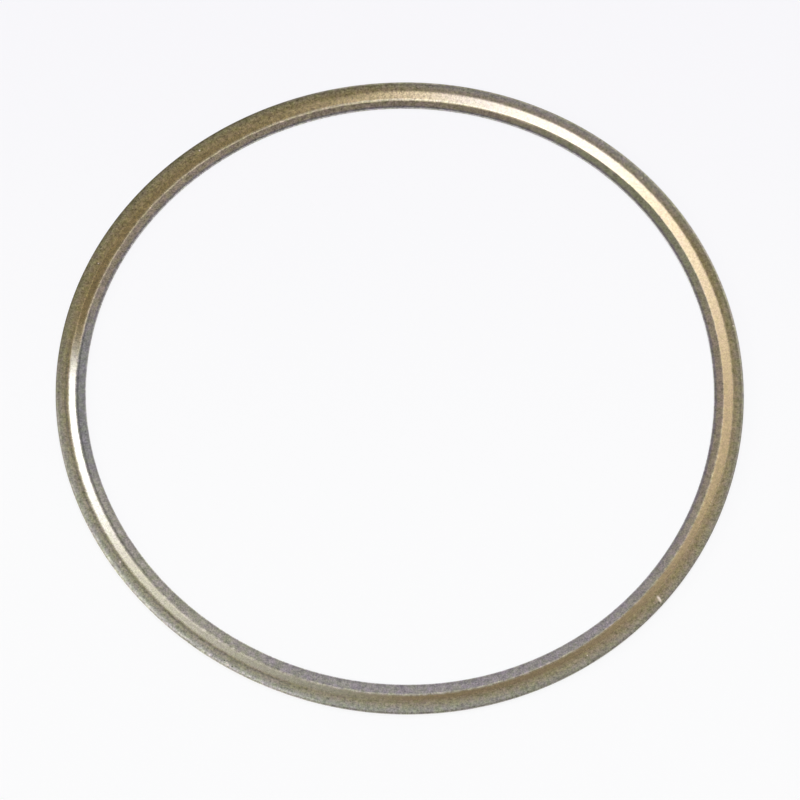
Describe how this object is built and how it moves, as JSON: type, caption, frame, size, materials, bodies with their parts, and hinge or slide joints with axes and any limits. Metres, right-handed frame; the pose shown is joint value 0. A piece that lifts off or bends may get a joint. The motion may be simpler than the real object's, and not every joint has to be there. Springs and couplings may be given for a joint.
{
  "type": "exhaust pipe gasket",
  "caption": "Thin stamped stainless ring that seals a round exhaust pipe joint, with a stepped section between two flat sealing flanges and a turned-down rim.",
  "frame": {"origin": "centre of the ring, level with the underside of the inner flange", "axes": "+Z along the ring's axis, from the inner flange up to the outer flange"},
  "size_m": [0.146, 0.146, 0.0009],
  "materials": {
    "tinted_stainless": "fine matte grain on the flanges, bright on the slope, straw to bronze heat tint"
  },
  "bodies": {
    "root": {"gasket_ring": "tinted_stainless"}
  },
  "joints": []
}
